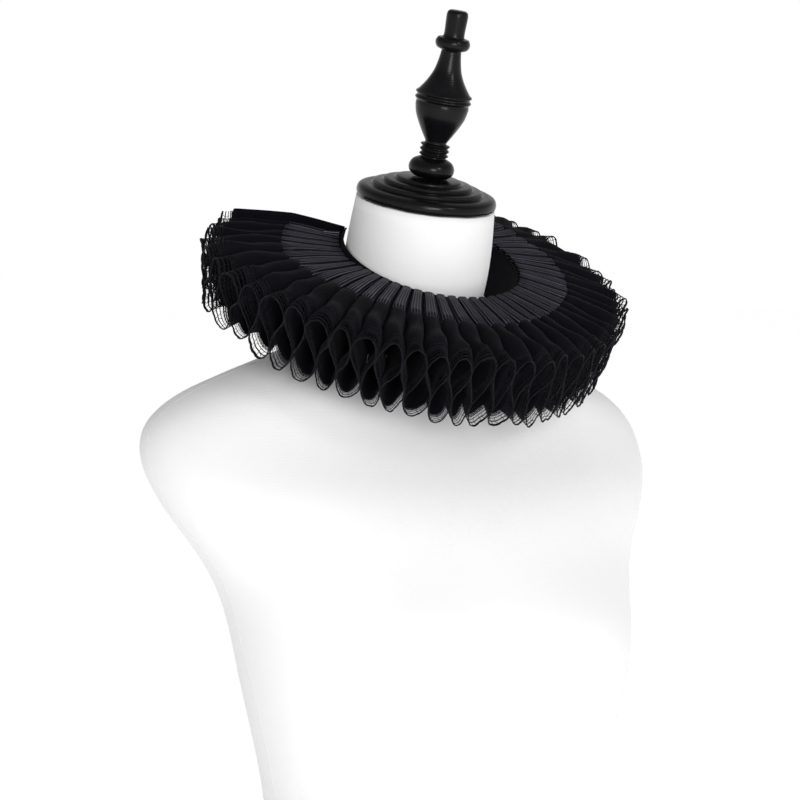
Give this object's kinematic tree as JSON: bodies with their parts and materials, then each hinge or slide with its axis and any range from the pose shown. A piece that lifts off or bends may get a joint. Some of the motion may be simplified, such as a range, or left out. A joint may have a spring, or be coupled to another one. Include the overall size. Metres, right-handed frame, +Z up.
{
  "type": "ruff collar on a dress form",
  "caption": "Figure-of-eight pleated ruff collar of black ribbon, cloth and lace, set round the neck of a white limbless dress form.",
  "frame": {"origin": "on the flat underside of the dress form, below its neck", "axes": "+Z up, the form and the collar's front face -Y, +X to the form's left"},
  "size_m": [0.3958, 0.2878, 0.7936],
  "materials": {
    "ribbon": "ribbed, slightly glossy",
    "cloth": "matte",
    "lace": "openwork thread",
    "form_cover": "matte woven cover",
    "lacquered_wood": "gloss black lacquer"
  },
  "bodies": {
    "root": {"ruffle_ribbon": "ribbon", "ruffle_cloth": "cloth", "lace_right": "lace", "lace_left": "lace", "neckband": "cloth", "closing_panel": "cloth", "ribbon_tab": "ribbon", "dress_form": "form_cover", "neck_cap": "lacquered_wood", "finial": "lacquered_wood"}
  },
  "joints": []
}
